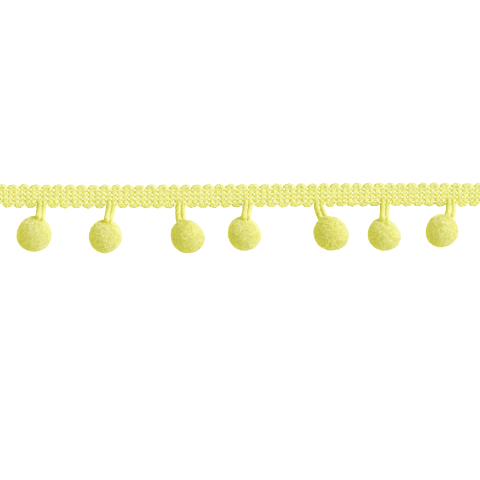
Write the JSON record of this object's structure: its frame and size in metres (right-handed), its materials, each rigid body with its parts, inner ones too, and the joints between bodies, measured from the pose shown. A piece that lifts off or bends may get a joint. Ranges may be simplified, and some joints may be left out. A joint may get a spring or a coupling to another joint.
{
  "type": "pompom trim",
  "caption": "Straight length of knitted braid trim with scalloped edges and a row of soft pompoms hanging on short yarn loops from one edge.",
  "frame": {"origin": "middle of the heading braid's flat back, halfway along its length", "axes": "+X along the trim, +Y in the plane of the braid from the pompoms towards the plain edge, +Z out of the braid's ribbed face"},
  "size_m": [0.178, 0.0261, 0.013],
  "materials": {
    "heading_yarn": "soft matt knitted yarn",
    "loop_yarn": "soft matt twisted yarn",
    "pompom_pile": "dense clipped pile, matt and slightly felted"
  },
  "bodies": {
    "root": {"heading_braid": "heading_yarn", "hanging_loop_1": "loop_yarn", "hanging_loop_2": "loop_yarn", "hanging_loop_3": "loop_yarn", "hanging_loop_4": "loop_yarn", "hanging_loop_5": "loop_yarn", "hanging_loop_6": "loop_yarn", "hanging_loop_7": "loop_yarn", "pompom_1": "pompom_pile", "pompom_2": "pompom_pile", "pompom_3": "pompom_pile", "pompom_4": "pompom_pile", "pompom_5": "pompom_pile", "pompom_6": "pompom_pile", "pompom_7": "pompom_pile"}
  },
  "joints": []
}
